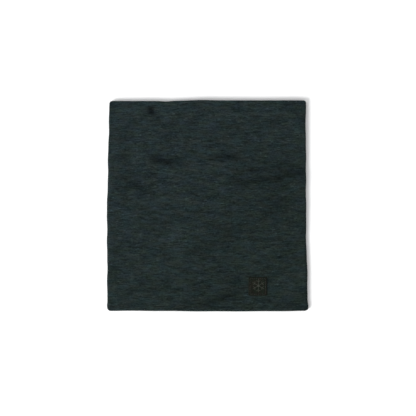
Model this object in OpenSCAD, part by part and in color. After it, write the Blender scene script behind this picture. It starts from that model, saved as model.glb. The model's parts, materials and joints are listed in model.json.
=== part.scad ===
// Double-layer knitted neck gaiter, laid flat on a table.
// A shell tube and a lining tube share both mouths. The shell turns in over each mouth as a facing, and a
// flat seam joins the facing to the lining. A stitched patch sits on the front, and a care label on the lining.
// The cloth is divided into six strips, three in front and three behind, so that the flat tube can open into
// a six-sided one. Neighbouring strips turn about bend lines, and the front meets the back at two side folds.
// Origin: middle of the footprint on the table. +Y runs to the top mouth, +X to the right, +Z up.

/* [Tube] */
// Laid-flat width of the tube, from fold to fold
flat_w = 258; // [230:1:290]
// Height of the tube, from mouth to mouth
tube_h = 274; // [240:1:320]
// Distance between the two bend lines on each side, which is the width of a centre strip
centre_w = 80; // [76:1:96]

/* [Cloth] */
// Thickness of one layer of knit
cloth_t = 1.0; // [0.8:0.05:1.2]
// Air between the shell and the lining
ply_gap = 0.3; // [0.2:0.05:0.5]
// Space between the front and back linings while the tube lies flat
mouth_gap = 2.4; // [2.2:0.1:5]
// Depth to which the shell turns in at the top mouth
top_facing = 12; // [8:0.5:20]
// Depth to which the shell turns in at the bottom mouth
bottom_facing = 7; // [5:0.5:20]

/* [Seams] */
// Width of a flat seam's thread band
seam_w = 5; // [3:0.5:7]
// Thickness of the thread that covers a seam
seam_t = 0.35; // [0.2:0.05:0.4]

/* [Patch] */
// Side of the square patch
patch_w = 24; // [18:0.5:26]
// Thickness of the patch
patch_t = 1.0; // [0.6:0.1:2]
// Distance from the tube's centre line to the patch's middle
patch_x = 65.5; // [60:0.5:100]
// Height of the patch's middle above the bottom mouth
patch_up = 32.5; // [20:0.5:60]
// Corner radius of the patch
patch_r = 1.5; // [0.5:0.1:4]
// Stitches along each side of the patch
patch_stitches = 8; // [4:1:12]

/* [Care label] */
// Reach of the label from the back seam
label_reach = 32; // [20:1:34]
// Length of the label along the back seam
label_l = 42; // [25:1:60]
// Thickness of the folded label
label_t = 0.5; // [0.3:0.05:0.6]
// Height of the label's middle above the bottom mouth
label_up = 62; // [40:1:120]

/* [Opening] */
// Angle through which each bend line turns when the tube is fully open
open_bend = 60; // [50:1:60]

/* [Hidden] */
$fn = 96;
clear = 0.02;                                  // gap between pieces that rest on each other
inner_r = mouth_gap / 2;                       // lining's inner face, from the tube's middle plane
outer_r = inner_r + 2 * cloth_t + ply_gap;     // shell's outer face, from the tube's middle plane
turn_r = (outer_r - inner_r) / 2;              // outside radius of the shell's turn at a mouth
ply_mid_r = (inner_r + outer_r) / 2;           // middle of a ply, where its bend lines lie
mid_z = outer_r;                               // height of the tube's middle plane above the table
bend_x = centre_w / 2;                         // bend line's axis
bend_relief = turn_r * tan(open_bend / 2) + 0.1;   // cloth left out beside a bend line, so that the inside clears
seam_relief = 0.5;                             // further set-back of a mouth seam's thread at a strip's end
fold_clear = 1.5;                              // degrees left free where a side fold meets the back strip
fold_arc = 180 - 2 * open_bend - fold_clear;   // angle of cloth round a side fold, once the tube is open
fold_x = flat_w / 2 - outer_r * sin(min(fold_arc, 90));   // side fold's axis
mouth_y = tube_h / 2;                          // either mouth, from the middle of the tube
turn_y = mouth_y - turn_r;                     // centre of the turn at a mouth
seam_butt = 0.3;                               // half the gap where a facing meets the lining
label_x = seam_w / 2 + 0.7;                    // sewn edge of the label
patch_y = patch_up - mouth_y;
label_y = label_up - mouth_y;
patch_z = 2 * outer_r + clear;                 // underside of the patch
stitch_inset = 2;                              // patch edge to its row of stitches
stitch_w = 0.5;                                // thickness of a stitch, seen from above
stitch_h = 0.3;                                // height of a stitch above the patch
stitch_share = 0.62;                           // share of each stitch pitch that is thread

shell_colour = [0.10, 0.14, 0.14];
lining_colour = [0.13, 0.17, 0.17];
thread_colour = [0.16, 0.20, 0.20];
patch_colour = [0.16, 0.14, 0.10];
label_colour = [0.80, 0.80, 0.78];

// ---- Profiles of a ply, cut from mouth to mouth: x is the distance from the middle plane, y runs up the tube ----

// The shell's turn over the top mouth, as a half ring
module mouth_turn() {
    translate([ply_mid_r, turn_y]) intersection() {
        difference() {
            circle(turn_r);
            circle(turn_r - cloth_t);
        }
        translate([-turn_r, 0]) square([2 * turn_r, turn_r]);
    }
}

// The shell: outer face, both turns and both facings
module shell_profile() {
    translate([outer_r - cloth_t, -turn_y]) square([cloth_t, 2 * turn_y]);
    mouth_turn();
    mirror([0, 1]) mouth_turn();
    translate([inner_r, mouth_y - top_facing]) square([cloth_t, top_facing - turn_r]);
    translate([inner_r, -turn_y]) square([cloth_t, bottom_facing - turn_r]);
}

// The lining, between the two facings
module lining_profile() {
    low = -mouth_y + bottom_facing + 2 * seam_butt;
    high = mouth_y - top_facing - 2 * seam_butt;
    translate([inner_r, low]) square([cloth_t, high - low]);
}

// The thread bands that join each facing to the lining, on the ply's inner face
module mouth_seam_profile() {
    for (y = [mouth_y - top_facing - seam_butt, -mouth_y + bottom_facing + seam_butt])
        translate([inner_r - clear - seam_t, y - seam_w / 2]) square([seam_t, seam_w]);
}

// ---- Strips: a profile carried across the tube ----

// Puts a piece drawn for the back half in place, or its mirror image in the front half
module place(front) {
    translate([0, 0, mid_z]) mirror([0, 0, front ? 1 : 0]) children();
}

// A profile carried straight from x0 to x1
module flat_run(x0, x1, front) {
    place(front) translate([x0, 0, 0]) rotate([0, 90, 0]) linear_extrude(x1 - x0) children();
}

// The side fold's cloth, which hangs on the front strip while the tube lies flat and meets the back strip
// when the tube is open
module left_fold() {
    place(true) translate([-fold_x, 0, 0]) rotate([-90, 0, 0]) rotate([0, 0, 90])
        rotate_extrude(angle = fold_arc) children();
}

module left_strip(front) {
    flat_run(-fold_x, -bend_x - bend_relief, front) children();
    if (front)
        left_fold() children();
}

module right_strip(front) {
    mirror([1, 0, 0]) left_strip(front) children();
}

module centre_strip(front) {
    flat_run(-bend_x + bend_relief, bend_x - bend_relief, front) children();
}

module left_seam_run(front) {
    flat_run(-fold_x + seam_relief, -bend_x - bend_relief - seam_relief, front) mouth_seam_profile();
}

module right_seam_run(front) {
    mirror([1, 0, 0]) left_seam_run(front);
}

module centre_seam_run(front) {
    flat_run(-bend_x + bend_relief + seam_relief, bend_x - bend_relief - seam_relief, front) mouth_seam_profile();
}

// ---- Shell: the outer tube of knit ----

// The centre back strip has a shallow channel on its underside for the back seam's thread
module shell_back_centre() {
    color(shell_colour) difference() {
        centre_strip(false) shell_profile();
        translate([-seam_w / 2 - clear, -turn_y, -1]) cube([seam_w + 2 * clear, 2 * turn_y, 1 + seam_t + clear]);
    }
}
module shell_back_left() { color(shell_colour) left_strip(false) shell_profile(); }
module shell_back_right() { color(shell_colour) right_strip(false) shell_profile(); }
module shell_front_left() { color(shell_colour) left_strip(true) shell_profile(); }
module shell_front_centre() { color(shell_colour) centre_strip(true) shell_profile(); }
module shell_front_right() { color(shell_colour) right_strip(true) shell_profile(); }

// ---- Lining: the inner tube of knit ----

module lining_back_centre() { color(lining_colour) centre_strip(false) lining_profile(); }
module lining_back_left() { color(lining_colour) left_strip(false) lining_profile(); }
module lining_back_right() { color(lining_colour) right_strip(false) lining_profile(); }
module lining_front_left() { color(lining_colour) left_strip(true) lining_profile(); }
module lining_front_centre() { color(lining_colour) centre_strip(true) lining_profile(); }
module lining_front_right() { color(lining_colour) right_strip(true) lining_profile(); }

// ---- Threads ----

module mouth_seams_back_centre() { color(thread_colour) centre_seam_run(false); }
module mouth_seams_back_left() { color(thread_colour) left_seam_run(false); }
module mouth_seams_back_right() { color(thread_colour) right_seam_run(false); }
module mouth_seams_front_left() { color(thread_colour) left_seam_run(true); }
module mouth_seams_front_centre() { color(thread_colour) centre_seam_run(true); }
module mouth_seams_front_right() { color(thread_colour) right_seam_run(true); }

// The thread that closes the shell into a tube, flush with the shell's underside
module shell_back_seam() {
    color(thread_colour) translate([-seam_w / 2, -turn_y + clear, 0]) cube([seam_w, 2 * (turn_y - clear), seam_t]);
}

// The thread that closes the lining into a tube, on the lining's inner face
module lining_back_seam() {
    low = -mouth_y + bottom_facing + seam_butt + seam_w / 2 + clear;
    high = mouth_y - top_facing - seam_butt - seam_w / 2 - clear;
    color(thread_colour) translate([-seam_w / 2, low, mid_z - inner_r + clear]) cube([seam_w, high - low, seam_t]);
}

// ---- Care label, sewn along its left edge beside the lining's back seam ----

module care_label() {
    color(label_colour) translate([label_x, label_y - label_l / 2, mid_z - inner_r + clear])
        cube([label_reach, label_l, label_t]);
}

// ---- Patch on the front, near the bottom right ----

module rounded_square(side, r) {
    square([side - 2 * r, side], center = true);
    square([side, side - 2 * r], center = true);
    for (x = [-1, 1], y = [-1, 1])
        translate([x, y] * (side / 2 - r)) circle(r);
}

module patch() {
    color(patch_colour) translate([patch_x, patch_y, patch_z]) linear_extrude(patch_t) rounded_square(patch_w, patch_r);
}

// One row of separate stitches along each side of the patch
module patch_stitching() {
    row = patch_w - 2 * stitch_inset;
    pitch = row / patch_stitches;
    color(thread_colour) translate([patch_x, patch_y, patch_z + patch_t + clear])
        for (turn = [0 : 90 : 270], i = [0 : patch_stitches - 1])
            rotate([0, 0, turn])
                translate([(i + 0.5) * pitch - row / 2, row / 2, stitch_h / 2])
                    cube([pitch * stitch_share, stitch_w, stitch_h], center = true);
}

shell_back_centre();
shell_back_left();
shell_back_right();
shell_front_left();
shell_front_centre();
shell_front_right();
lining_back_centre();
lining_back_left();
lining_back_right();
lining_front_left();
lining_front_centre();
lining_front_right();
mouth_seams_back_centre();
mouth_seams_back_left();
mouth_seams_back_right();
mouth_seams_front_left();
mouth_seams_front_centre();
mouth_seams_front_right();
shell_back_seam();
lining_back_seam();
care_label();
patch();
patch_stitching();
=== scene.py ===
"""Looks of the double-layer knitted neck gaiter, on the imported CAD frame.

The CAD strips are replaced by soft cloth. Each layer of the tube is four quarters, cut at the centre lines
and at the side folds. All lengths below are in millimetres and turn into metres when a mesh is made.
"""

import json
import math

import bpy
import numpy as np
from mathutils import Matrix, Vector


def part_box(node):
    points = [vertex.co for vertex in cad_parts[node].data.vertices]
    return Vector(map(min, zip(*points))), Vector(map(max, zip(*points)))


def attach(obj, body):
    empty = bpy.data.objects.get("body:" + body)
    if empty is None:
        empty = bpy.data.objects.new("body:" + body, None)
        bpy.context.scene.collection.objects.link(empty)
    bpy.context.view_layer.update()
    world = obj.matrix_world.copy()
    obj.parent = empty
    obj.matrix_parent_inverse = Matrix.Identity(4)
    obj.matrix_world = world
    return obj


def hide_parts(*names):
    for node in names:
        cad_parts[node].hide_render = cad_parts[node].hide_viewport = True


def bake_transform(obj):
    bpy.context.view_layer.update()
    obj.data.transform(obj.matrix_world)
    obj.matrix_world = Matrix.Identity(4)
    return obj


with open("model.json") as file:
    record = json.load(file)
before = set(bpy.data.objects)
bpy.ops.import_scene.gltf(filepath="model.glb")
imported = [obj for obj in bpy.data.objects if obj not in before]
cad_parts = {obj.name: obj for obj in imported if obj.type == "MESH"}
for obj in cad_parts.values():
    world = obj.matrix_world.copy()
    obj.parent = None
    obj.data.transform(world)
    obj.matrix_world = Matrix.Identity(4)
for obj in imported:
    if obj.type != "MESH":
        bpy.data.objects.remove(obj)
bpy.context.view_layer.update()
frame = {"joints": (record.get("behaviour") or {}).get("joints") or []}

MM = 0.001


# ---------------------------------------------------------------- sizes from the CAD frame


def cad(node):
    low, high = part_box(node)
    return np.array(low) / MM, np.array(high) / MM


HINGE = {j["name"]: np.array(j["pos_m"]) / MM for j in frame["joints"]}
FOLD_X = -HINGE["left_fold"][0]
MID_Z = HINGE["left_fold"][2]
OUTER_R = MID_Z
INNER_R = MID_Z - cad("lining_back_centre")[1][2]
CLOTH_T = np.ptp([cad("lining_back_centre")[0][2], cad("lining_back_centre")[1][2]])
HALF_H = cad("shell_front_centre")[1][1]
LINING_LOW = cad("lining_front_centre")[0][1]
LINING_HIGH = cad("lining_front_centre")[1][1]
SEAM_LOW = cad("mouth_seams_front_centre")[0][1]
SEAM_HIGH = cad("mouth_seams_front_centre")[1][1]
SEAM_W = 2 * cad("shell_back_seam")[1][0]
TURN_R = (OUTER_R - INNER_R) / 2
TURN_Y = HALF_H - TURN_R
PLY_R = INNER_R + TURN_R
PATCH_LOW, PATCH_HIGH = cad("patch")
PATCH_MID = (PATCH_LOW + PATCH_HIGH) / 2
PATCH_SIDE = PATCH_HIGH[0] - PATCH_LOW[0]

# Round a side fold from the flat cloth to the fold's tip, and from the centre line to the tip
ARC = OUTER_R * math.pi / 2
TIP = FOLD_X + ARC
# Round of the outline's four corners
CORNER_R = 3.2
# Share by which the back's half of a side fold is narrower, so that the two halves don't share a surface
BACK_TUCK = 0.02
THREAD_R = 0.16
STITCH_PITCH = 2.6


# ---------------------------------------------------------------- helpers


def bump(x, middle, width):
    return np.exp(-(((x - middle) / width) ** 2))


def smooth(x):
    x = np.clip(x, 0.0, 1.0)
    return x * x * (3.0 - 2.0 * x)


def unit(vectors):
    return vectors / (np.linalg.norm(vectors, axis=-1, keepdims=True) + 1e-12)


def run_length(path):
    """Distance from a path's first point to each of its points."""
    return np.concatenate([[0], np.cumsum(np.linalg.norm(np.diff(path, axis=0), axis=1))])


def grid_faces(rows, cols, flip=False):
    i, j = np.meshgrid(np.arange(rows - 1), np.arange(cols - 1), indexing="ij")
    a = (i * cols + j).ravel()
    faces = np.stack([a, a + cols, a + cols + 1, a + 1], -1)
    return faces[:, ::-1] if flip else faces


def grid_rim(rows, cols):
    """Indices of a grid's points in order round its edge."""
    index = np.arange(rows * cols).reshape(rows, cols)
    return np.concatenate([index[:-1, 0], index[-1, :-1], index[:0:-1, -1], index[0, :0:-1]])


def square(reach):
    return [(-reach, -reach, 0), (reach, -reach, 0), (reach, reach, 0), (-reach, reach, 0)]


# ---------------------------------------------------------------- shape of the laid-flat cloth


def half_width(y, side):
    """From the centre line to a side fold's tip. The tube widens slightly towards the bottom mouth."""
    v = -y / HALF_H
    left = FOLD_X + 3.85 + 1.35 * v - 1.6 * v * v + 0.28 * np.sin(y / 9.0 + 0.6) + 0.14 * np.sin(y / 4.1)
    left = left + 0.8 * bump(y, -0.08 * HALF_H, 14.0)
    right = FOLD_X + 2.4 + 0.9 * v + 0.9 * v * v + 0.30 * np.sin(y / 12.0 + 2.2)
    right = right + 0.12 * np.sin(y / 4.7 + 1.0)
    right = right + 0.7 * smooth((v - 0.25) / 0.5) + 0.6 * bump(y, 0.25 * HALF_H, 13.0)
    wide = np.where(side < 0, left, right)
    return wide + 1.0 * bump(y, -HALF_H + 6.0, 5.0)


def mouth_shift(x, y):
    """Waviness of the two mouths' edges, fading into the cloth."""
    top = -0.35 + 0.40 * np.tanh((x + 35.0) / 12.0) + 0.45 * bump(x, -7.0, 14.0) - 0.65 * bump(x, -53.0, 7.0)
    low = 0.45 - 0.35 * np.sin(x / 41.0 + 0.8) + 0.12 * np.sin(x / 9.0)
    fade = smooth((np.abs(y) - 0.55 * HALF_H) / (0.45 * HALF_H))
    return np.where(y > 0, top, low) * fade


# Soft folds left by packing. Each has its middle as shares of half the width and half the height, its length,
# its turn in degrees, its height, how far its ends lie above its middle, the width of its steep upper side,
# and how much painted shade darkens that side (painted light where the value is below 0)
FOLDS = [
    ((-0.430, 0.385), 52, -6, 1.30, 8.5, 10.0, 1.00),
    ((0.183, 0.438), 48, 0, 1.10, -4.5, 9.0, 0.75),
    ((0.695, 0.216), 82, 12, 1.90, 1.5, 11.0, 0.85),
    ((0.650, 0.306), 80, 7, 1.10, 0.0, 13.0, 0.42),
    ((0.320, 0.190), 28, -14, 0.60, 0.0, 9.0, 0.50),
    ((-0.783, 0.180), 44, -27, 1.10, 0.0, 11.0, 0.62),
    ((-0.890, 0.444), 20, -2, 0.80, 0.0, 6.5, 0.65),
    ((-0.617, 0.900), 11, -80, 1.10, 0.0, 8.5, 1.30),
    ((-0.510, 0.770), 32, -56, 0.40, 0.0, 8.0, 0.28),
    ((-0.240, -0.175), 13, 10, 0.50, 0.0, 8.0, 0.50),
    ((0.050, -0.210), 22, 8, 0.90, 0.0, 9.5, 0.60),
    ((0.740, -0.070), 54, 25, 0.90, 0.0, 26.0, 0.50),
    ((0.320, -0.270), 32, 40, 0.60, 0.0, 18.0, 0.38),
    ((-0.140, -0.470), 32, -6, 0.40, 0.0, 14.0, 0.32),
    ((0.130, -0.430), 40, 20, 0.30, 0.0, 22.0, 0.25),
    ((0.130, -0.915), 36, 17, 0.90, 0.0, 9.0, 0.60),
    ((0.350, -0.832), 26, 33, 0.70, 0.0, 10.0, 0.55),
    ((-0.130, -0.955), 46, 2, 0.30, 0.0, 5.0, 0.45),
    ((0.310, 0.905), 18, 4, 0.50, 0.0, 7.0, 0.42),
    ((0.725, 0.765), 24, 3, 0.50, 0.0, 12.0, 0.42),
    ((-0.870, 0.595), 18, -4, 0.40, 0.0, 8.0, 0.36),
    ((0.530, 0.515), 32, 8, 0.40, 0.0, 7.0, 0.32),
    ((-0.280, -0.400), 32, 5, 0.30, 0.0, 22.0, -0.28),
    ((-0.735, 0.520), 18, 0, 0.30, 0.0, 14.0, -0.30),
]
# Width of a fold's gentle lower side
FOLD_RISE = 17.0


def fold_place(x, y, middle, length, turn_deg, sag):
    """Place along a fold, 1 at its ends, and distance above its line."""
    a = math.radians(turn_deg)
    dx, dy = x - middle[0] * FOLD_X, y - middle[1] * HALF_H
    along = (dx * math.cos(a) + dy * math.sin(a)) / (length / 2)
    return along, dy * math.cos(a) - dx * math.sin(a) - sag * np.minimum(along**2, 2.0)


def packing_folds(x, y):
    """The cloth rises slowly towards each fold's line and drops over its upper side."""
    total = 0.0
    for middle, length, turn_deg, height, sag, fall, _ in FOLDS:
        along, across = fold_place(x, y, middle, length, turn_deg, sag)
        profile = np.where(across < 0, smooth(1 + across / FOLD_RISE), 1 - smooth(across / fall))
        total = total + height * profile * bump(along, 0.0, 1.0)
    return total


def painted_fold_shade(x, y):
    """Painted shade where the cloth drops over a fold's steep upper side, away from the light, and painted
    light where a fold's value is below 0. 0 to about 1.
    """
    total = 0.0
    for middle, length, turn_deg, _, sag, fall, shade in FOLDS:
        along, across = fold_place(x, y, middle, length, turn_deg, sag)
        total = total + shade * bump(across, 0.5 * fall, 0.6 * fall) * bump(along**2, 0.0, 1.1)
    return np.clip(total, -0.4, 1.25) * smooth((patch_distance(x, y) + 1.0) / 3.0)


SIM_SCALE = 0.01
SIM_FRAMES = 36
SIM_BOARD = 4.0


def simulate_wrinkles():
    """A pinned sheet of slightly loose cloth settles on a board. Returns its height about the median."""
    nx, ny = 53, 56
    xs = np.linspace(-FOLD_X - 4, FOLD_X + 4, nx)
    ys = np.linspace(-HALF_H, HALF_H, ny)
    gx, gy = np.meshgrid(xs, ys, indexing="ij")
    gz = 3.0 + 1.2 * np.sin(gx / 17.0 + 0.7) * np.sin(gy / 23.0) + 0.7 * np.sin(gx / 9.3 + gy / 14.0)
    verts = np.stack([gx, gy, gz], -1).reshape(-1, 3) * SIM_SCALE
    mesh = bpy.data.meshes.new("sim_sheet")
    mesh.from_pydata(verts.tolist(), [], grid_faces(nx, ny).tolist())
    sheet = bpy.data.objects.new("sim_sheet", mesh)
    bpy.context.scene.collection.objects.link(sheet)
    pins = sheet.vertex_groups.new(name="pins")
    pins.add(grid_rim(nx, ny).tolist(), 1.0, "REPLACE")
    board_mesh = bpy.data.meshes.new("sim_board")
    board_mesh.from_pydata(square(SIM_BOARD), [], [(0, 1, 2, 3)])
    board = bpy.data.objects.new("sim_board", board_mesh)
    bpy.context.scene.collection.objects.link(board)
    board.modifiers.new("Collision", "COLLISION")
    board.collision.thickness_outer = 0.002
    cloth = sheet.modifiers.new("Cloth", "CLOTH")
    cloth.settings.vertex_group_mass = "pins"
    cloth.settings.quality = 6
    cloth.settings.mass = 0.3
    cloth.settings.tension_stiffness = 15
    cloth.settings.compression_stiffness = 15
    cloth.settings.shear_stiffness = 5
    cloth.settings.bending_stiffness = 2.0
    cloth.settings.shrink_min = -0.012
    cloth.collision_settings.distance_min = 0.004
    cloth.collision_settings.use_self_collision = False
    scene = bpy.context.scene
    scene.frame_start, scene.frame_end = 1, SIM_FRAMES
    cloth.point_cache.frame_start, cloth.point_cache.frame_end = 1, SIM_FRAMES
    for step in range(1, SIM_FRAMES + 1):
        scene.frame_set(step)
    settled = sheet.evaluated_get(bpy.context.evaluated_depsgraph_get())
    co = np.empty(len(settled.data.vertices) * 3)
    settled.data.vertices.foreach_get("co", co)
    height = co.reshape(nx, ny, 3)[:, :, 2] / SIM_SCALE
    for made in (sheet, board):
        bpy.data.objects.remove(made)
    scene.frame_set(1)
    return xs, ys, height - np.median(height)


SIM_X, SIM_Y, SIM_Z = simulate_wrinkles()


def field(x, y, xs, ys, values):
    """Smooth reading of a height field between its grid points."""
    fx = np.clip((x - xs[0]) / (xs[1] - xs[0]), 0, len(xs) - 1.001)
    fy = np.clip((y - ys[0]) / (ys[1] - ys[0]), 0, len(ys) - 1.001)
    i, j = fx.astype(int), fy.astype(int)
    a, b = smooth(fx - i), smooth(fy - j)
    return (
        values[i, j] * (1 - a) * (1 - b)
        + values[i + 1, j] * a * (1 - b)
        + values[i, j + 1] * (1 - a) * b
        + values[i + 1, j + 1] * a * b
    )


def patch_distance(x, y):
    """Distance outside the patch's edge, negative inside."""
    return np.maximum(np.abs(x - PATCH_MID[0]), np.abs(y - PATCH_MID[1])) - PATCH_SIDE / 2


def mouth_wave(x, y):
    """The front's two edges don't lie quite flat on the back's. 0 to 1."""
    top = 0.28 + 0.28 * np.sin(x / 22.0 + 0.9) * np.cos(x / 47.0)
    low = 0.5 + 0.5 * np.sin(x / 27.0 + 2.4) * np.cos(x / 61.0 + 0.5)
    by_mouth = bump(HALF_H - np.abs(y), 0.0, 21.0)
    off_folds = smooth((FOLD_X - np.abs(x)) / 22.0)
    return np.where(y > 0, top, low) * by_mouth * off_folds


def fold_wave(x, y):
    """The cloth next to the side folds stands fuller in some places than in others. 0 to 1."""
    left = 0.5 + 0.5 * np.sin(y / 21.0 + 1.9) * np.cos(y / 57.0)
    right = 0.5 + 0.5 * np.sin(y / 25.0 + 0.3) * np.cos(y / 49.0 + 0.8)
    return np.where(x > 0, right, left) * bump(FOLD_X - np.abs(x), 9.0, 13.0)


WRINKLE_HEIGHT, WRINKLE_LIMIT = 0.70, 1.4
MIDDLE_DROP, MOUTH_LIFT, FOLD_LIFT = 0.55, 2.8, 1.4
PATCH_DIP = 0.15


def front_relief(x, y):
    """Height of the front above flat: settled wrinkles, packing folds, and edges plumper than the middle.
    The cloth is flat under the patch and dips a little along the patch's edge."""
    z = WRINKLE_HEIGHT * np.tanh(field(x, y, SIM_X, SIM_Y, SIM_Z) / WRINKLE_LIMIT)
    z = z + packing_folds(x, y)
    inside = smooth((FOLD_X - np.abs(x)) / 34.0) * smooth((HALF_H - np.abs(y)) / 30.0)
    z = z - MIDDLE_DROP * inside + MOUTH_LIFT * mouth_wave(x, y) + FOLD_LIFT * fold_wave(x, y)
    near = smooth((patch_distance(x, y) - 1.0) / 11.0)
    return z * near - PATCH_DIP * bump(patch_distance(x, y), 0.9, 1.5)


def back_relief(x, y):
    """The back rests on the table, so it only lifts, and only a little."""
    z = np.sin(x / 24.0 + 0.4) * np.sin(y / 31.0 + 1.3) + 0.5 * np.sin(x / 13.0 - y / 17.0)
    return 0.16 * np.clip(z, 0, None) ** 2


def welt(y):
    """Thickening over the turned-in allowance at the bottom mouth, with the sewn line's groove above it."""
    up = y + HALF_H
    band = smooth(up / 1.6) * (1 - smooth((up - 5.0) / 1.6))
    return 0.55 * band - 0.22 * bump(up, 6.4, 0.9)


def top_welt(y):
    """The same at the top mouth, fainter."""
    down = HALF_H - y
    return 0.18 * smooth(down / 2.0) * (1 - smooth((down - 10.5) / 3.0)) - 0.05 * bump(down, 12.4, 1.0)


SEAM_GROOVE = 0.47


def cloth_point(u, y, r, front):
    """A point of the flattened tube. u runs from the centre line (0) over the side fold, y runs up the tube,
    and r is the distance from the tube's middle plane. Past the fold's tip it goes on into the other half."""
    side = np.sign(u) + (u == 0)
    arc = np.clip((np.abs(u) - FOLD_X) / ARC, 0, 2) * math.pi / 2
    lean = r / OUTER_R
    if not front:
        lean = lean * (1 - BACK_TUCK * smooth(arc))
    reach = (half_width(y, side) - FOLD_X) * lean
    x_abs = np.minimum(np.abs(u), FOLD_X) + reach * np.sin(arc)
    # Rounded corners of the outline
    wide, high = FOLD_X + reach, HALF_H
    dx = np.clip((x_abs - (wide - CORNER_R)) / CORNER_R, 0, 1)
    dy = np.clip((np.abs(y) - (high - CORNER_R)) / CORNER_R, 0, 1)
    x = side * (x_abs - CORNER_R * dx * (1 - np.sqrt(1 - dy * dy / 2)))
    y_new = y - np.sign(y) * CORNER_R * dy * (1 - np.sqrt(1 - dx * dx / 2)) + mouth_shift(x, y)
    level = np.clip(np.cos(arc), 0, 1)
    rise = r * np.cos(arc)
    outside = np.clip((r - INNER_R) / (OUTER_R - INNER_R), 0, 1)
    if front:
        z = MID_Z + rise + level * (front_relief(x, y) + outside * (welt(y) + top_welt(y)))
    else:
        groove = SEAM_GROOVE * (1 - smooth((np.abs(u) - 0.55 * SEAM_W + 0.3) / 0.9)) * outside
        groove = groove * smooth((TURN_Y + 0.2 - np.abs(y)) / 0.8)
        # The back's mouths lie a little behind the front's
        behind = smooth((np.abs(y) - TURN_Y + 20) / 20) * (0.5 + 0.3 * np.sin(x / 17.0))
        y_new = y_new - np.sign(y) * level * behind
        z = MID_Z - rise + level * (back_relief(x, y) * smooth((TURN_Y - np.abs(y)) / 20.0) + groove)
    return np.stack([x, y_new, z], -1)


def unrolled(u, front):
    """Distance round the tube, so that the knit runs on over the side folds and breaks at the back seam."""
    return u if front else np.where(u < 0, -2 * TIP - u, 2 * TIP - u)


# ---------------------------------------------------------------- meshes


def new_object(name, verts, faces, attributes=(), normals=None, smooth_faces=True):
    mesh = bpy.data.meshes.new(name)
    mesh.from_pydata((np.asarray(verts) * MM).tolist(), [], [tuple(f) for f in faces])
    for label, values in attributes:
        kind = "FLOAT_VECTOR" if np.ndim(values) == 2 else "FLOAT"
        layer = mesh.attributes.new(label, kind, "POINT")
        field_name = "vector" if kind == "FLOAT_VECTOR" else "value"
        layer.data.foreach_set(field_name, np.asarray(values, np.float32).ravel())
    if smooth_faces:
        mesh.polygons.foreach_set("use_smooth", [True] * len(mesh.polygons))
    if normals is not None:
        mesh.normals_split_custom_set(normals.tolist())
    mesh.update()
    obj = bpy.data.objects.new(name, mesh)
    bpy.context.scene.collection.objects.link(obj)
    return obj


FACING_GAP = 0.6
SHELL_ROW = 1.05
LINING_ROWS = 170


def shell_profile():
    """The seen face and the hidden face of the shell, from one facing's end to the other's, and the distance
    along the cloth. A face is rows of (distance from the middle plane, height)."""
    turn = np.linspace(0, math.pi, 13)
    low_facing = np.linspace(LINING_LOW - FACING_GAP, -TURN_Y, 6)[:-1]
    high_facing = np.linspace(TURN_Y, LINING_HIGH + FACING_GAP, 9)[1:]
    outside = np.linspace(-TURN_Y, TURN_Y, round(2 * TURN_Y / SHELL_ROW))[1:-1]

    def face(radius):
        r = np.concatenate([np.full(len(low_facing), PLY_R - radius), PLY_R - radius * np.cos(turn),
                            np.full(len(outside), PLY_R + radius), PLY_R + radius * np.cos(turn),
                            np.full(len(high_facing), PLY_R - radius)])
        y = np.concatenate([low_facing, -TURN_Y - radius * np.sin(turn), outside,
                            TURN_Y + radius * np.sin(turn), high_facing])
        return np.stack([r, y], -1)

    seen = face(TURN_R)
    path = run_length(seen)
    return seen, face(TURN_R - CLOTH_T), path - path[-1] / 2


def lining_profile():
    y = np.linspace(LINING_LOW, LINING_HIGH, LINING_ROWS)
    seen = np.stack([np.full(len(y), INNER_R), y], -1)
    return seen, seen + (CLOTH_T, 0), y


# Where the rows of a quarter lie round the tube: close by the centre seam, even on the flat, then the fold
SEAM_ZONE = 4.0
SECTION = np.concatenate([
    np.arange(0, SEAM_ZONE, 0.5),
    np.linspace(SEAM_ZONE, FOLD_X, 84),
    FOLD_X + ARC * np.linspace(0, 1, 9)[1:],
])


def cloth_face(u, face, front, turned):
    """A grid of points on one face of a quarter, and their normals. It is worked out one row past each end of
    u, so that the normals agree with the next quarter's."""
    step = (u[1] - u[0], u[-1] - u[-2])
    wide = np.concatenate([[u[0] - step[0]], u, [u[-1] + step[1]]])
    uu, yy = np.meshgrid(wide, face[:, 1], indexing="ij")
    p = cloth_point(uu, yy, np.broadcast_to(face[:, 0], uu.shape), front)
    n = unit(np.cross(np.gradient(p, axis=0), np.gradient(p, axis=1)))
    return p[1:-1].reshape(-1, 3), (-n if turned else n)[1:-1].reshape(-1, 3)


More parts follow.
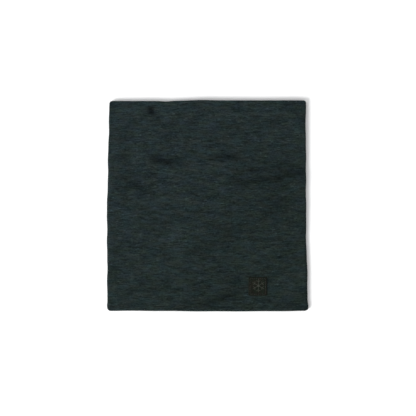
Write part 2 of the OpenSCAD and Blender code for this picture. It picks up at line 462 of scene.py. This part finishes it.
def cloth_quarter(name, profile, front, side, outward):
    """One quarter of a layer: half its front or back, from the centre line to the tip of a side fold. It is a
    closed sheet of cloth with a seen face, a hidden face and cut edges."""
    seen, hidden, path = profile
    u = SECTION * side
    turned = ((side > 0) == front) != outward
    points, normals = cloth_face(u, seen, front, turned)
    back_points, back_normals = cloth_face(u, hidden, front, not turned)
    verts = np.concatenate([points, back_points])
    rows, cols = len(u), len(path)
    half = rows * cols
    faces = grid_faces(rows, cols, turned)
    rim = grid_rim(rows, cols)
    follow = np.roll(rim, -1)
    edges = np.stack([follow, rim, rim + half, follow + half], -1)
    if turned:
        edges = edges[:, ::-1]
    p = verts[edges]
    edge_normals = unit(np.cross(p[:, 2] - p[:, 0], p[:, 3] - p[:, 1]))
    back_faces = faces[:, ::-1]
    corner_normals = np.concatenate([
        normals[faces].reshape(-1, 3),
        back_normals[back_faces].reshape(-1, 3),
        np.repeat(edge_normals, 4, axis=0),
    ])
    knit = np.stack([np.repeat(unrolled(u, front), cols), np.tile(path, rows), np.zeros(half)], -1) * MM
    painted_shade = np.zeros(half)
    if front and outward:
        # Painted shade along the folds' steep sides, on the front's seen face only
        painted_shade = painted_fold_shade(points[:, 0], points[:, 1]) * (points[:, 2] > MID_Z + INNER_R)
    attributes = [("knit", np.concatenate([knit, knit])), ("painted_shade", np.concatenate([painted_shade, painted_shade]))]
    all_faces = np.concatenate([faces, back_faces + half, edges])
    return new_object(name, verts, all_faces, attributes, corner_normals)


# Threads carry their number, which starts again after this many
THREAD_NUMBERS = 97
# Thickness of a thread's two ends, as a share of the rest
THREAD_END = 0.45


class Threads:
    """Collects swept threads into one mesh. The thread attribute holds the distance along a thread, the share
    of the way round it, and its number."""

    def __init__(self):
        self.verts, self.faces, self.thread = [], [], []
        self.count = 0

    def add(self, path, radius, ref, sides=6):
        """Sweeps a tube along a path. ref is any direction that the path never runs along."""
        path = np.asarray(path, float)
        tangent = unit(np.gradient(path, axis=0))
        a = unit(np.cross(tangent, ref))
        b = np.cross(a, tangent)
        thick = np.full(len(path), radius)
        thick[0] = thick[-1] = THREAD_END * radius
        turn = 2 * math.pi * np.arange(sides) / sides
        ring = np.cos(turn)[None, :, None] * a[:, None] + np.sin(turn)[None, :, None] * b[:, None]
        pts = path[:, None] + thick[:, None, None] * ring
        tag = np.stack([
            np.repeat(run_length(path), sides),
            np.tile(turn / (2 * math.pi), len(path)),
            np.full(len(path) * sides, self.count % THREAD_NUMBERS),
        ], -1)
        base = sum(len(v) for v in self.verts)
        i, k = np.meshgrid(np.arange(len(path) - 1), np.arange(sides), indexing="ij")
        here, there, k_next = i * sides, (i + 1) * sides, (k + 1) % sides
        quads = np.stack([here + k, here + k_next, there + k_next, there + k], -1).reshape(-1, 4) + base
        self.verts.append(pts.reshape(-1, 3))
        self.thread.append(tag)
        self.faces += quads.tolist()
        self.faces.append([base + s for s in range(sides)][::-1])
        self.faces.append([base + (len(path) - 1) * sides + s for s in range(sides)])
        self.count += 1

    def build(self, name):
        verts = np.concatenate(self.verts)
        return new_object(name, verts, self.faces, [("thread", np.concatenate(self.thread))])


def triangle_wave(t):
    """Runs between -1 and 1 and back once for every 1 of t."""
    return 2 * np.abs(2 * (t - np.floor(t + 0.5))) - 1


def flat_seam(threads, length, pitch, width, place, ref):
    """A cover stitch: two rows of needle stitches with a looper thread zigzagging between them.
    place(along, across, lift) gives the point."""
    count = max(1, round(length / pitch))
    step = length / count
    t = np.linspace(0, count, count * 6 + 1)
    zigzag = place(t * step, 0.5 * width * triangle_wave(t), np.full(len(t), THREAD_R * 0.9))
    threads.add(zigzag, THREAD_R, ref)
    for row in (-0.42, 0.42):
        for k in range(count):
            s = np.linspace(0.06, 0.94, 6)
            lift = THREAD_R * (0.7 + 1.1 * np.sin(math.pi * s))
            threads.add(place((k + s) * step, np.full(6, row * width), lift), THREAD_R * 0.9, ref, 5)


def mouth_seams(name, front, side):
    """The thread of both mouth seams along one quarter, on the inner face."""
    threads = Threads()
    for middle in (SEAM_LOW + SEAM_W / 2, SEAM_HIGH - SEAM_W / 2):
        def place(along, across, lift):
            u = np.clip(along, 1e-4, TIP) * side
            return cloth_point(u, middle + across, INNER_R - lift, front)

        flat_seam(threads, TIP, STITCH_PITCH, 0.8 * SEAM_W, place, np.array([0.0, 1.0, 0.02]))
    return threads.build(name)


# ---------------------------------------------------------------- materials


class Shader:
    """Small helper for node materials."""

    def __init__(self, name):
        self.material = bpy.data.materials.new(name)
        self.material.use_nodes = True
        self.tree = self.material.node_tree
        self.tree.nodes.clear()
        self.out = self.tree.nodes.new("ShaderNodeOutputMaterial")
        self.bsdf = self.tree.nodes.new("ShaderNodeBsdfPrincipled")
        self.tree.links.new(self.bsdf.outputs[0], self.out.inputs[0])

    def feed(self, socket, value):
        if isinstance(value, bpy.types.NodeSocket):
            self.tree.links.new(value, socket)
        elif isinstance(value, (int, float)):
            socket.default_value = value
        else:
            opaque = (1.0,) if socket.type == "RGBA" and len(value) == 3 else ()
            socket.default_value = tuple(value) + opaque

    def math(self, op, a, b=0.0, c=0.0):
        n = self.tree.nodes.new("ShaderNodeMath")
        n.operation = op
        for socket, value in zip(n.inputs, (a, b, c)):
            self.feed(socket, value)
        return n.outputs[0]

    def attribute(self, name):
        n = self.tree.nodes.new("ShaderNodeAttribute")
        n.attribute_name = name
        return n

    def knit_mm(self):
        """Place on the cloth in mm: round the tube, and up it."""
        s, y, _ = self.split(self.attribute("knit").outputs["Vector"])
        return self.math("MULTIPLY", s, 1 / MM), self.math("MULTIPLY", y, 1 / MM)

    def split(self, vector):
        n = self.tree.nodes.new("ShaderNodeSeparateXYZ")
        self.feed(n.inputs[0], vector)
        return n.outputs

    def join(self, x, y, z=0.0):
        n = self.tree.nodes.new("ShaderNodeCombineXYZ")
        for socket, value in zip(n.inputs, (x, y, z)):
            self.feed(socket, value)
        return n.outputs[0]

    def noise(self, vector, scale=1.0, detail=2.0, roughness=0.5):
        n = self.tree.nodes.new("ShaderNodeTexNoise")
        self.feed(n.inputs["Vector"], vector)
        self.feed(n.inputs["Scale"], scale)
        self.feed(n.inputs["Detail"], detail)
        self.feed(n.inputs["Roughness"], roughness)
        return n.outputs[0]

    def cells(self, vector, scale):
        n = self.tree.nodes.new("ShaderNodeTexVoronoi")
        n.feature = "DISTANCE_TO_EDGE"
        self.feed(n.inputs["Vector"], vector)
        self.feed(n.inputs["Scale"], scale)
        return n.outputs[0]

    def ramp(self, value, low, high, to_low=0.0, to_high=1.0):
        n = self.tree.nodes.new("ShaderNodeMapRange")
        n.interpolation_type = "SMOOTHSTEP"
        for socket, v in zip(n.inputs, (value, low, high, to_low, to_high)):
            self.feed(socket, v)
        return n.outputs[0]

    def mix(self, factor, a, b, blend="MIX"):
        n = self.tree.nodes.new("ShaderNodeMix")
        n.data_type = "RGBA"
        n.blend_type = blend
        self.feed(n.inputs[0], factor)
        self.feed(n.inputs[6], a)
        self.feed(n.inputs[7], b)
        return n.outputs[2]

    def tinted(self, colour, tint):
        return self.mix(1.0, colour, tint, "MULTIPLY")

    def scaled(self, colour, gain):
        return self.tinted(colour, self.join(gain, gain, gain))

    def bump(self, height, distance, strength):
        n = self.tree.nodes.new("ShaderNodeBump")
        self.feed(n.inputs["Height"], height)
        self.feed(n.inputs["Distance"], distance)
        self.feed(n.inputs["Strength"], strength)
        return n.outputs[0]

    def surface(self, **values):
        for name, value in values.items():
            self.feed(self.bsdf.inputs[name.replace("_", " ")], value)


# Width and height of one knitted loop
WALE = 0.62
COURSE = 0.50
# Colour of the painted shade between the knit's loops
CREVICE_SHADE = (0.004, 0.006, 0.006)
HUES = [
    ((0.93, 0.995, 1.08), (1.07, 1.01, 0.90), 53.0),
    ((1.05, 0.98, 1.03), (0.95, 1.02, 0.97), 61.0),
]
# Colours of the painted light, from the darker corner to the paler one
PAINTED_LIGHT_LOW, PAINTED_LIGHT_HIGH = (0.915, 0.930, 0.885), (1.085, 1.070, 1.115)
# How much the painted fold shade darkens the colour
PAINTED_SHADE_DEPTH = 0.50


def knit_material(name, dark, light, contrast, bump_mm):
    """Fine jersey with a heather of short fibre streaks along the courses."""
    sh = Shader(name)
    s, y = sh.knit_mm()
    sway = sh.noise(sh.join(sh.math("MULTIPLY", s, 0.017), sh.math("MULTIPLY", y, 0.018)), 1.0, 1.0)
    y_sway = sh.math("MULTIPLY_ADD", sway, 2.2, y)

    def strands(thick, length, seed, detail=2.0):
        """Noise that changes from row to row and only slowly along a row."""
        row = sh.math("FLOOR", sh.math("MULTIPLY", y_sway, 1 / thick))
        place = sh.join(sh.math("MULTIPLY", s, 1 / length), sh.math("MULTIPLY", row, 7.37), seed)
        return sh.noise(place, 1.0, detail, 0.6)

    def cloud(across, along, seed, detail=2.0):
        """Noise in soft spots of about these sizes."""
        place = sh.join(sh.math("MULTIPLY", s, 1 / across), sh.math("MULTIPLY", y_sway, 1 / along), seed)
        return sh.noise(place, 1.0, detail)

    tone = sh.math("MULTIPLY", cloud(2.2, 1.2, 23.0), 0.24)
    tone = sh.math("MULTIPLY_ADD", cloud(22, 6.0, 17.0, 3.0), 0.14, tone)
    tone = sh.math("MULTIPLY_ADD", strands(COURSE, 6, 11.0), 0.24, tone)
    tone = sh.math("MULTIPLY_ADD", strands(2 * COURSE, 12, 3.0, 3.0), 0.38, tone)
    colour = sh.mix(sh.ramp(tone, 0.5 - 0.5 * contrast, 0.5 + 0.5 * contrast), dark, light)
    glint = sh.ramp(strands(2.6 * COURSE, 8, 31.0, 3.0), 0.57, 0.70, 1.0, 1.60)
    shadow = sh.ramp(strands(3.1 * COURSE, 11, 41.0, 3.0), 0.30, 0.43, 0.58, 1.0)
    patches = sh.ramp(cloud(55, 38, 5.0, 3.0), 0.25, 0.75, 0.93, 1.10)
    gain = sh.math("MULTIPLY", sh.math("MULTIPLY", glint, shadow), patches)
    colour = sh.scaled(colour, gain)
    for hue, other, seed in HUES:
        side = sh.ramp(cloud(16, 8.0, seed), 0.32, 0.68)
        colour = sh.tinted(colour, sh.mix(side, hue, other))
    # Painted light: the cloth is a little paler and bluer towards one corner and darker towards the opposite
    # one
    corner = sh.math("SUBTRACT", sh.math("MULTIPLY", y, 1.15), sh.math("MULTIPLY", s, 0.85))
    painted_light = sh.ramp(corner, -1.4 * HALF_H, 1.4 * HALF_H)
    colour = sh.tinted(colour, sh.mix(painted_light, PAINTED_LIGHT_LOW, PAINTED_LIGHT_HIGH))
    # Painted shade on the folds' steep sides, and painted light where a fold's value is below 0
    painted_shade = sh.math("MULTIPLY_ADD", sh.attribute("painted_shade").outputs["Fac"], -PAINTED_SHADE_DEPTH, 1.0)
    colour = sh.scaled(colour, painted_shade)
    # Jersey loops: each wale is two legs leaning towards each other
    column = sh.math("SUBTRACT", sh.math("FRACT", sh.math("MULTIPLY", s, 1 / WALE)), 0.5)
    leg = sh.math("ABSOLUTE", column)
    off_ridge = sh.math("MULTIPLY", sh.math("ABSOLUTE", sh.math("SUBTRACT", leg, 0.25)), 4.0)
    ridge = sh.math("SUBTRACT", 1.0, sh.math("POWER", off_ridge, 2.0))
    rows = sh.math("MULTIPLY_ADD", leg, 1.3, sh.math("MULTIPLY", y, 1 / COURSE))
    loop = sh.math("MULTIPLY_ADD", sh.math("SINE", sh.math("MULTIPLY", rows, 2 * math.pi)), 0.5, 0.5)
    height = sh.math("MULTIPLY", ridge, sh.math("MULTIPLY_ADD", loop, 0.45, 0.55))
    fuzz = sh.noise(sh.join(s, y, 2.0), 3.2, 3.0, 0.7)
    height = sh.math("MULTIPLY_ADD", fuzz, 0.30, height)
    normal = sh.bump(height, bump_mm * MM, 0.9)
    # Painted shade: the colour darkens in the low places between the loops
    colour = sh.mix(sh.ramp(height, 0.15, 0.9, 0.45, 0.0), colour, CREVICE_SHADE)
    sh.surface(Base_Color=colour, Roughness=0.92, Normal=normal, Sheen_Weight=0.03, Sheen_Roughness=0.40,
               Sheen_Tint=(0.72, 0.84, 0.86), Specular_IOR_Level=0.025)
    return sh.material


def thread_material(name, tone):
    """Twisted thread, with painted shade between its strands."""
    sh = Shader(name)
    run, around, number = sh.split(sh.attribute("thread").outputs["Vector"])
    turns = sh.math("MULTIPLY_ADD", run, 1.9, sh.math("MULTIPLY", around, 2.0))
    twist = sh.math("SINE", sh.math("MULTIPLY", turns, 2 * math.pi))
    lay = sh.math("MULTIPLY_ADD", twist, 0.5, 0.5)
    speck = sh.noise(sh.join(run, sh.math("MULTIPLY", around, 3.0), number), 2.5, 2.0)
    # Painted shade darkens the grooves between the strands; the specks are random
    colour = sh.mix(sh.math("MULTIPLY", sh.math("MULTIPLY_ADD", lay, 0.6, speck), 0.6),
                    [0.55 * c for c in tone], [1.5 * c for c in tone])
    sh.surface(Base_Color=colour, Roughness=sh.ramp(lay, 0, 1, 0.62, 0.48),
               Normal=sh.bump(lay, 0.05 * MM, 0.8), Sheen_Weight=0.1, Specular_IOR_Level=0.35)
    return sh.material


def leather_material(name):
    """Dark brown patch leather. The pressed emblem is filled with a paler, duller paint."""
    sh = Shader(name)
    to_mm = sh.tree.nodes.new("ShaderNodeVectorMath")
    to_mm.operation = "SCALE"
    sh.feed(to_mm.inputs[0], sh.attribute("knit").outputs["Vector"])
    sh.feed(to_mm.inputs["Scale"], 1 / MM)
    mm = to_mm.outputs[0]
    pores = sh.cells(mm, 1.9)
    creases = sh.noise(mm, 0.9, 4.0, 0.65)
    grain = sh.math("MULTIPLY_ADD", sh.ramp(pores, 0.0, 0.22), 0.6, sh.math("MULTIPLY", creases, 0.5))
    mark = sh.attribute("mark").outputs["Fac"]
    edge = sh.attribute("edge").outputs["Fac"]
    blotch = sh.noise(mm, 0.35, 3.0)
    colour = sh.mix(sh.ramp(blotch, 0.3, 0.7), (0.0030, 0.0050, 0.0026), (0.0070, 0.0094, 0.0054))
    tinge = sh.ramp(sh.noise(mm, 0.16, 2.0), 0.38, 0.62)
    colour = sh.tinted(colour, sh.mix(tinge, (1.22, 0.93, 0.96), (0.80, 1.06, 1.02)))
    colour = sh.mix(sh.ramp(pores, 0.0, 0.12, 0.35, 0.0), colour, (0.0016, 0.0018, 0.0011))
    colour = sh.mix(sh.math("MULTIPLY", edge, 0.55), colour, (0.0092, 0.0118, 0.0082))
    rub = sh.ramp(sh.attribute("rub").outputs["Fac"], 0.0, 1.0, 0.84, 1.14)
    colour = sh.scaled(colour, rub)
    worn = sh.math("MULTIPLY", mark, sh.ramp(sh.noise(mm, 2.2, 3.0, 0.7), 0.25, 0.5, 0.55, 0.95))
    colour = sh.mix(worn, colour, (0.030, 0.033, 0.026))
    sh.surface(Base_Color=colour, Roughness=sh.ramp(grain, 0.1, 0.9, 0.66, 0.52),
               Normal=sh.bump(grain, 0.10 * MM, 0.7), Specular_IOR_Level=0.07)
    return sh.material


def satin_material(name):
    """Off-white satin ribbon."""
    sh = Shader(name)
    s, y = sh.knit_mm()
    warp = sh.math("MULTIPLY_ADD", sh.math("SINE", sh.math("MULTIPLY", s, 2 * math.pi / 0.22)), 0.5, 0.5)
    weft = sh.math("SINE", sh.math("MULTIPLY_ADD", y, 2 * math.pi / 0.6, sh.math("MULTIPLY", s, 9.0)))
    height = sh.math("MULTIPLY_ADD", weft, 0.2, warp)
    slub = sh.noise(sh.join(sh.math("MULTIPLY", s, 2.0), sh.math("MULTIPLY", y, 0.15)), 1.0, 2.0)
    colour = sh.mix(sh.ramp(slub, 0.3, 0.7), (0.50, 0.50, 0.48), (0.60, 0.60, 0.58))
    edge = sh.attribute("edge").outputs["Fac"]
    colour = sh.mix(sh.math("MULTIPLY", edge, 0.5), colour, (0.36, 0.36, 0.34))
    sh.surface(Base_Color=colour, Roughness=sh.ramp(warp, 0, 1, 0.42, 0.32),
               Normal=sh.bump(height, 0.03 * MM, 0.6), Sheen_Weight=0.15, Specular_IOR_Level=0.5)
    return sh.material


def floor_material():
    sh = Shader("floor")
    sh.surface(Base_Color=(0.93, 0.93, 0.93), Roughness=0.85, Specular_IOR_Level=0.1)
    return sh.material


SHELL_KNIT = knit_material("shell_knit", (0.0046, 0.0081, 0.0080), (0.0217, 0.0325, 0.0329), 0.25, 0.055)
LINING_KNIT = knit_material("lining_knit", (0.0087, 0.0137, 0.0133), (0.0190, 0.0278, 0.0278), 0.40, 0.045)
THREAD = thread_material("thread", (0.015, 0.0215, 0.0205))
PATCH_THREAD = thread_material("patch_thread", (0.0078, 0.0081, 0.0056))
LEATHER = leather_material("patch_leather")
SATIN = satin_material("label_satin")


# ---------------------------------------------------------------- the pieces


def bend(obj):
    """Bakes the piece's placement into its mesh."""
    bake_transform(obj)


def finish_piece(obj, material, slot, *nodes):
    obj.data.materials.append(material)
    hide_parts(*nodes)
    return obj


for front, half in ((True, "front"), (False, "back")):
    for side, hand in ((-1, "left"), (1, "right")):
        nodes = [f"{half}_{hand}", f"{half}_centre"]
        shell = cloth_quarter(f"shell_cloth_{half}_{hand}", shell_profile(), front, side, True)
        finish_piece(shell, SHELL_KNIT, "shell_knit", *["shell_" + n for n in nodes])
        bend(shell)
        lining = cloth_quarter(f"lining_cloth_{half}_{hand}", lining_profile(), front, side, False)
        finish_piece(lining, LINING_KNIT, "lining_knit", *["lining_" + n for n in nodes])
        bend(lining)
        seams = mouth_seams(f"mouth_seam_threads_{half}_{hand}", front, side)
        finish_piece(seams, THREAD, "thread", *["mouth_seams_" + n for n in nodes])
        bend(seams)


def back_seam(name, low, high, place):
    threads = Threads()

    def along_tube(along, across, lift):
        return place(across, low + along, lift)

    ref = np.array([1.0, 0.0, 0.02])
    flat_seam(threads, high - low, STITCH_PITCH, 0.78 * SEAM_W, along_tube, ref)
    return threads.build(name)


def on_shell_back(x, y, lift):
    ground = cloth_point(x, y, np.full(len(x), OUTER_R), False)
    return ground - np.stack([np.zeros(len(x)), np.zeros(len(x)), lift], -1)


def on_lining_back(x, y, lift):
    ground = cloth_point(x, y, np.full(len(x), INNER_R), False)
    return ground + np.stack([np.zeros(len(x)), np.zeros(len(x)), lift], -1)


seam = back_seam("shell_back_seam_thread", -TURN_Y + 1.0, TURN_Y - 1.0, on_shell_back)
finish_piece(seam, THREAD, "thread", "shell_back_seam")
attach(seam, "back_centre")

low, high = cad("lining_back_seam")
seam = back_seam("lining_back_seam_thread", low[1], high[1], on_lining_back)
finish_piece(seam, THREAD, "thread", "lining_back_seam")
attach(seam, "back_centre")


# The emblem: length of an arm and of a twig, radius of the plate, half the width of a line, and its place
CRYSTAL_ARM, CRYSTAL_TWIG, CRYSTAL_PLATE, CRYSTAL_LINE = 8.4, 2.7, 1.4, 0.20
CRYSTAL_AT = (0.8, 0.9)
# Where the twigs leave an arm, as a share of its length
CRYSTAL_FORK = 0.62


def crystal_mark(x, y):
    """A plain six-armed snow crystal about a small round plate, 1 on it and 0 off it."""
    best = np.full(x.shape, 99.0)

    def line(x0, y0, x1, y1, best):
        d = np.array([x1 - x0, y1 - y0])
        t = np.clip(((x - x0) * d[0] + (y - y0) * d[1]) / (d @ d), 0, 1)
        return np.minimum(best, np.hypot(x - x0 - t * d[0], y - y0 - t * d[1]))

    for k in range(6):
        a = math.radians(90 + 60 * k)
        tip = np.array([math.cos(a), math.sin(a)])
        best = line(0, 0, CRYSTAL_ARM * tip[0], CRYSTAL_ARM * tip[1], best)
        x0, y0 = CRYSTAL_FORK * CRYSTAL_ARM * tip
        for turn in (-60, 60):
            b = a + math.radians(turn)
            best = line(x0, y0, x0 + CRYSTAL_TWIG * math.cos(b), y0 + CRYSTAL_TWIG * math.sin(b), best)
    plate = np.hypot(x, y) - CRYSTAL_PLATE
    return 1 - smooth((np.minimum(best - CRYSTAL_LINE, plate)) / 0.25)


def rounded(u, v, half, corner):
    """Maps the square -1 to 1 to a square of that half side with round corners."""
    x, y = u * half, v * half
    dx = np.clip((np.abs(x) - (half - corner)) / corner, 0, 1)
    dy = np.clip((np.abs(y) - (half - corner)) / corner, 0, 1)
    return (x - np.sign(x) * corner * dx * (1 - np.sqrt(1 - dy * dy / 2)),
            y - np.sign(y) * corner * dy * (1 - np.sqrt(1 - dx * dx / 2)))


STITCH_INSET = 2.0
PATCH_CORNER = 1.5
EDGE_DROP, STITCH_GROOVE, EMBLEM_SINK = 0.42, 0.16, 0.20
RUB_AT, RUB_RADIUS = 5.0, 12.0


def make_patch():
    """A leather square with pressed edges, a groove for its stitches and a sunk emblem."""
    count = 151
    # Rows lie closer together towards the edges
    spread = math.pi / 2 * 0.86
    line = np.sin(np.linspace(-1, 1, count) * spread) / math.sin(spread)
    u, v = np.meshgrid(line, line, indexing="ij")
    half = PATCH_SIDE / 2
    x, y = rounded(u, v, half, PATCH_CORNER)
    inset = half - np.maximum(np.abs(u), np.abs(v)) * half
    thick = PATCH_HIGH[2] - PATCH_LOW[2]
    mark = crystal_mark(x - CRYSTAL_AT[0], y - CRYSTAL_AT[1])
    z = thick - EDGE_DROP * (1 - smooth(inset / 0.8)) ** 2
    z = z - STITCH_GROOVE * bump(inset, STITCH_INSET, 0.55)
    z = z - EMBLEM_SINK * mark + 0.03 * np.sin(x / 2.3 + 0.4) * np.sin(y / 3.1)
    top = np.stack([x, y, z], -1).reshape(-1, 3)
    order = grid_rim(count, count).tolist()
    rim = top[order]
    skirt = [rim * (1.004, 1.004, 0) + (0, 0, 0.45 * thick), rim * (0.992, 0.992, 0) + (0, 0, 0.0)]
    verts = np.concatenate([top] + skirt) + (PATCH_MID[0], PATCH_MID[1], PATCH_LOW[2])
    faces = grid_faces(count, count).tolist()
    loop, n = len(order), len(top)
    rings = [order, list(range(n, n + loop)), list(range(n + loop, n + 2 * loop))]
    for a, b in zip(rings, rings[1:]):
        faces += [[a[k], b[k], b[(k + 1) % loop], a[(k + 1) % loop]] for k in range(loop)]
    # The underside is strips across the patch rather than one flat face
    under = rings[-1]
    for end in (under[3 * count - 4:] + under[:2], under[count - 2:2 * count]):
        faces.append(end[::-1])
    for i in range(1, count - 2):
        faces.append([under[i], under[3 * count - 3 - i], under[3 * count - 4 - i], under[i + 1]])
    edge = np.concatenate([(1 - smooth(inset / 1.1)).ravel(), np.ones(2 * loop)])
    mark = np.concatenate([mark.ravel(), np.zeros(2 * loop)])
    rub = np.concatenate([bump(np.hypot(x, y - RUB_AT), 0.0, RUB_RADIUS).ravel(), np.zeros(2 * loop)])
    attributes = [("knit", verts * MM), ("edge", edge), ("mark", mark), ("rub", rub)]
    return new_object("stitched_patch", verts, faces, attributes)


patch = make_patch()
finish_piece(patch, LEATHER, "patch_leather", "patch")
bend(patch)


PATCH_STITCHES = 8
PATCH_THREAD_R = 0.21


def make_patch_stitches():
    """A row of stitches along each side of the patch."""
    threads = Threads()
    row = PATCH_SIDE - 2 * STITCH_INSET
    pitch = row / PATCH_STITCHES
    for turn in range(4):
        a = turn * math.pi / 2
        for k in range(PATCH_STITCHES):
            s = np.linspace(-0.5, 0.5, 9)
            across = (k + 0.5) * pitch - row / 2 + s * pitch * 0.80
            lift = PATCH_HIGH[2] - 0.20 + 0.34 * np.cos(s * math.pi * 1.02)
            out = row / 2 + 0.10 * s
            path = np.stack([across * math.cos(a) - out * math.sin(a) + PATCH_MID[0],
                             across * math.sin(a) + out * math.cos(a) + PATCH_MID[1], lift], -1)
            threads.add(path, PATCH_THREAD_R, np.array([0.0, 0.0, 1.0]) + 0.01, 8)
    return threads.build("patch_stitches")


stitches = make_patch_stitches()
finish_piece(stitches, PATCH_THREAD, "thread", "patch_stitching")
bend(stitches)


LABEL_THICK = 0.24


def make_label():
    """A blank satin loop label, folded double at its free end."""
    low, high = cad("care_label")
    long, wide = high[0] - low[0], high[1] - low[1]
    u = np.linspace(0, 1, 40)
    v = np.linspace(-1, 1, 46)
    uu, vv = np.meshgrid(u, v, indexing="ij")
    x = low[0] + long * uu
    y = (low[1] + high[1]) / 2 + wide / 2 * vv * (1 - 0.012 * np.sin(uu * math.pi))
    wave = 0.13 * (0.5 - 0.5 * np.cos(uu * 5.0 + vv * 0.8)) * smooth(uu * 3)
    z_low = low[2] + 0.01 + wave * 0.7
    rim = np.minimum(1, np.minimum(1 - uu, (1 - np.abs(vv)) * 0.6) * 30)
    z_high = z_low + LABEL_THICK * (0.35 + 0.65 * np.sqrt(np.clip(rim, 0, 1)))
    n = uu.size
    upper = np.stack([x, y, z_high], -1).reshape(-1, 3)
    lower = np.stack([x, y, z_low], -1).reshape(-1, 3)
    rows, cols = uu.shape
    faces = grid_faces(rows, cols).tolist()
    faces += [[i + n for i in f[::-1]] for f in faces]
    order = grid_rim(rows, cols).tolist()
    faces += [[a, a + n, b + n, b] for a, b in zip(order, order[1:] + order[:1])]
    edge = 1 - smooth(np.minimum(1 - uu, (1 - np.abs(vv)) * 0.6) * 18)
    edge = np.concatenate([edge.ravel(), edge.ravel()])
    verts = np.concatenate([upper, lower])
    return new_object("blank_care_label", verts, faces, [("knit", verts * MM), ("edge", edge)])


label = make_label()
finish_piece(label, SATIN, "label_satin", "care_label")
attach(label, "care_label")


# ---------------------------------------------------------------- floor, light and camera


FLOOR_REACH = 20000.0
FLOOR_DROP = 0.05


def make_floor():
    corners = np.array(square(FLOOR_REACH)) - (0, 0, FLOOR_DROP)
    floor = new_object("floor", corners, [(0, 1, 2, 3)], smooth_faces=False)
    floor.data.materials.append(floor_material())


make_floor()


def area_light(name, place, size, power, colour=(1, 1, 1)):
    """A round lamp that looks at the origin. Its place and size are in metres."""
    data = bpy.data.lights.new(name, "AREA")
    data.shape = "DISK"
    data.size = size
    data.energy = power
    data.color = colour
    light = bpy.data.objects.new(name, data)
    light.location = place
    light.rotation_euler = (-Vector(place)).to_track_quat("-Z", "Y").to_euler()
    bpy.context.scene.collection.objects.link(light)


def from_direction(azimuth, elevation, distance):
    a, e = math.radians(azimuth), math.radians(elevation)
    level = distance * math.cos(e)
    return (level * math.cos(a), level * math.sin(a), distance * math.sin(e))


area_light("key", from_direction(213, 41, 4.5), size=2.5, power=209)
area_light("fill", from_direction(135, 68, 1.5), size=0.8, power=1.7, colour=(0.90, 0.96, 1.0))

world = bpy.data.worlds.new("studio")
world.use_nodes = True
world.node_tree.nodes["Background"].inputs[0].default_value = (1, 1, 1, 1)
world.node_tree.nodes["Background"].inputs[1].default_value = 0.72
bpy.context.scene.world = world

# The camera looks straight down. The span is what the picture's width shows at the cloth's middle, in metres
FRAME_SPAN = 0.5408
CAMERA_HEIGHT = 2.4
SENSOR = 36
camera_data = bpy.data.cameras.new("camera")
camera_data.sensor_width = SENSOR
camera_data.lens = SENSOR * (CAMERA_HEIGHT - OUTER_R * MM) / FRAME_SPAN
camera = bpy.data.objects.new("camera", camera_data)
camera.location = (0.0010, -0.0027, CAMERA_HEIGHT)
bpy.context.scene.collection.objects.link(camera)
bpy.context.scene.camera = camera
bpy.context.scene.view_settings.view_transform = "Standard"
